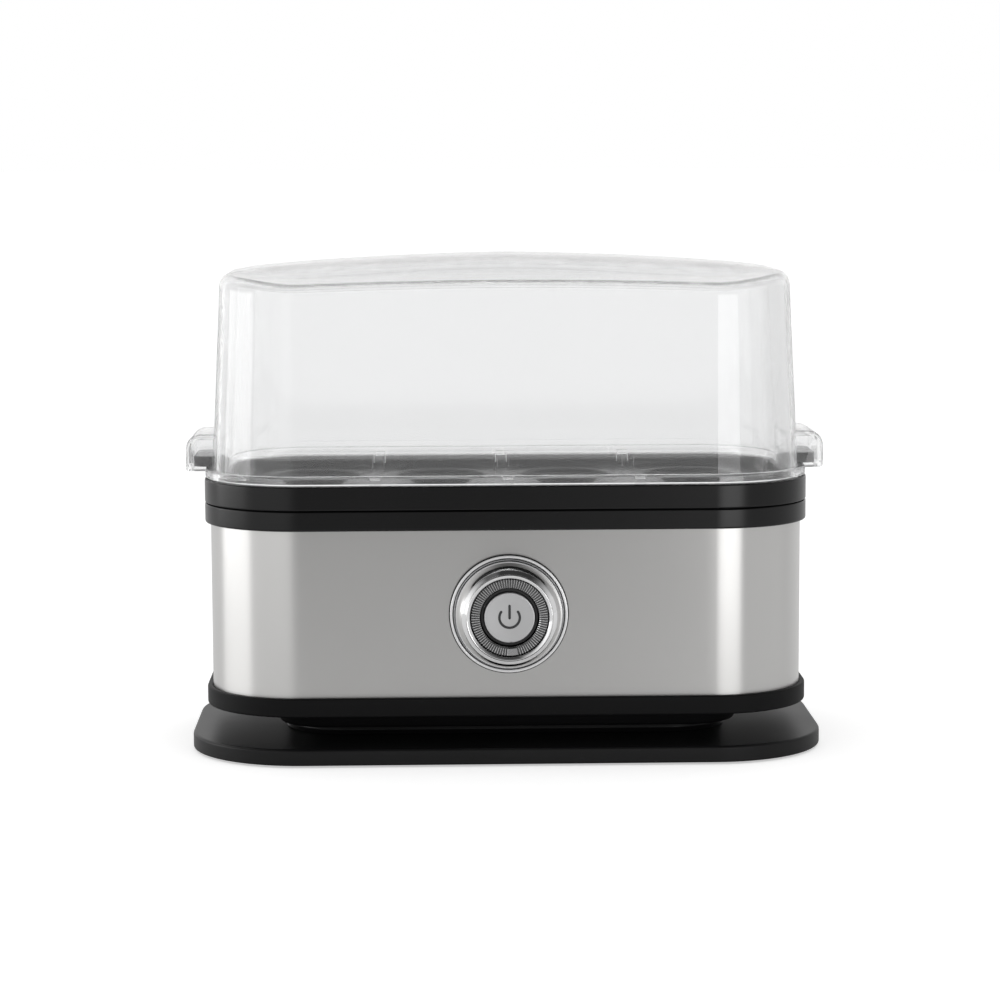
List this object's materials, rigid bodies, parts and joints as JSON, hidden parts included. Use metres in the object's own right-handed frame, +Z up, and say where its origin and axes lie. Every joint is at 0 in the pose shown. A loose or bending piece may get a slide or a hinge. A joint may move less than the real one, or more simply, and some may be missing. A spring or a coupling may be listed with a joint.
{
  "type": "electric egg boiler",
  "caption": "Countertop egg boiler: flat base plate, steel-wrapped body, chrome timer dial with a push button, lift-out egg rack and tall clear lid with end grips.",
  "frame": {"origin": "on the surface the feet stand on, below the middle of the overall box", "axes": "+X to the right of someone facing the dial, +Y to the back, +Z up"},
  "size_m": [0.2334, 0.1264, 0.1799],
  "materials": {
    "black_plastic": "black moulded plastic, lightly glossy",
    "clear_plastic": "clear moulded plastic, polished",
    "satin_steel": "satin stainless sheet, brushed along its length",
    "chrome_plate": "bright chrome plate",
    "satin_silver": "fine satin silver",
    "rubber_black": "matte black rubber",
    "silicone": "pale grey silicone",
    "bowl_aluminium": "bare pressed aluminium, satin",
    "zinc_steel": "zinc-plated steel",
    "board_green": "green circuit board laminate",
    "component_blue": "dark blue component housing",
    "nylon_cream": "cream nylon",
    "wire_red": "insulated wire"
  },
  "bodies": {
    "housing": {"base_plate": "black_plastic", "bottom_pan": "black_plastic", "top_collar": "black_plastic", "dial_bearing": "black_plastic", "bearing_nut": "black_plastic", "button_guide": "black_plastic", "board_bracket": "black_plastic", "steel_sleeve": "satin_steel", "foot_1": "rubber_black", "foot_2": "rubber_black", "foot_3": "rubber_black", "foot_4": "rubber_black", "cord_gland": "rubber_black", "bowl_gasket": "silicone", "water_bowl": "bowl_aluminium", "heat_plate": "bowl_aluminium", "heating_element": "zinc_steel", "thermostat_clip": "zinc_steel", "stud_nut_left": "zinc_steel", "stud_nut_right": "zinc_steel", "bowl_screw_1": "zinc_steel", "bowl_screw_2": "zinc_steel", "bowl_screw_3": "zinc_steel", "bowl_screw_4": "zinc_steel", "body_screw_1": "zinc_steel", "body_screw_2": "zinc_steel", "body_screw_3": "zinc_steel", "body_screw_4": "zinc_steel", "base_screw_1": "zinc_steel", "base_screw_2": "zinc_steel", "base_screw_3": "zinc_steel", "base_screw_4": "zinc_steel", "board_screw_1": "zinc_steel", "board_screw_2": "zinc_steel", "clamp_screw_1": "zinc_steel", "clamp_screw_2": "zinc_steel", "control_board": "board_green", "timer_potentiometer": "component_blue", "power_switch": "component_blue", "relay": "component_blue", "capacitor": "component_blue", "thermostat": "nylon_cream", "thermal_fuse": "nylon_cream", "cord_clamp": "nylon_cream", "terminal_block": "nylon_cream", "live_wire": "wire_red", "neutral_wire": "wire_red", "heater_wire": "wire_red"},
    "rack": {"egg_rack": "black_plastic"},
    "lid": {"lid": "clear_plastic"},
    "dial": {"dial_knob": "chrome_plate", "dial_tick_ring": "satin_silver", "dial_hub": "black_plastic"},
    "button": {"power_button": "satin_silver", "button_spring": "zinc_steel", "switch_plunger": "black_plastic"}
  },
  "joints": [
    {"name": "rack_lift", "type": "slide", "parent": "housing", "child": "rack", "axis": [0, 0, 1], "range_m": [0, 0.05]},
    {"name": "lid_lift", "type": "slide", "parent": "rack", "child": "lid", "axis": [0, 0, 1], "range_m": [0, 0.09]},
    {"name": "dial_turn", "type": "hinge", "parent": "housing", "child": "dial", "pos_m": [0, -0.05242, 0.05375], "axis": [0, 1, 0], "range_deg": [0, 270]},
    {"name": "button_press", "type": "slide", "parent": "housing", "child": "button", "axis": [0, 1, 0], "range_m": [0, 0.0015], "stiffness_N_per_m": 800, "springref_m": -0.001}
  ]
}
